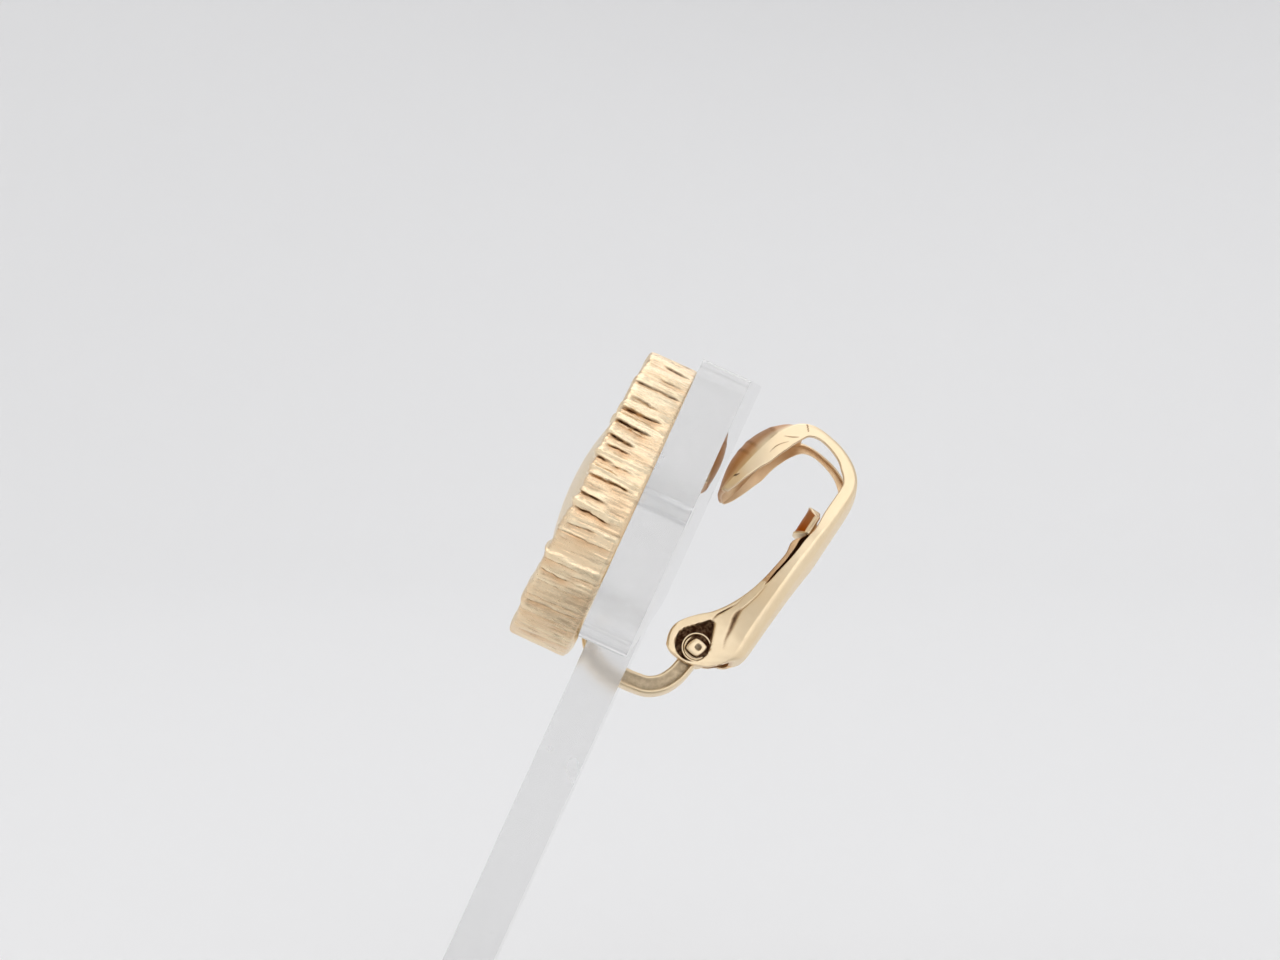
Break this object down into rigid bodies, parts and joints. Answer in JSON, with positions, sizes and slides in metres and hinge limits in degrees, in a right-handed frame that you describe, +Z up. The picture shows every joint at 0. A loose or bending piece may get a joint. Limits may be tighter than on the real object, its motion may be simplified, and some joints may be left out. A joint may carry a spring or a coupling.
{
  "type": "clip-on earring on a display stand",
  "caption": "Round gold-tone button clip-on earring with a bark-fluted rim and a hinged sprung clip, worn by a clear T-shaped acrylic display stand.",
  "frame": {"origin": "middle of the stand's underside", "axes": "+Z up; +X along the crossbar, towards the earring's near side; the earring's front looks towards -Y and a little up"},
  "size_m": [0.0441, 0.034, 0.0495],
  "materials": {
    "gold_cast": "pale champagne-gold plate on a cast button, bright on the ridges and darker in the grooves",
    "gold_sheet": "smooth pale gold plate on stamped sheet",
    "gold_spring": "deeper gold plate on spring strip",
    "clear_acrylic": "clear, glossy, with polished edges"
  },
  "bodies": {
    "stand": {"button": "gold_cast", "stand_plate": "clear_acrylic", "stand_base": "clear_acrylic"},
    "lever": {"lever": "gold_sheet", "leaf_spring": "gold_spring", "hinge_pin": "gold_sheet"}
  },
  "joints": [
    {"name": "lever_hinge", "type": "hinge", "parent": "stand", "child": "lever", "pos_m": [-0.01018, 0.00547, 0.02862], "axis": [-0.9507, -0.0934, -0.2958], "range_deg": [0, 70]}
  ]
}
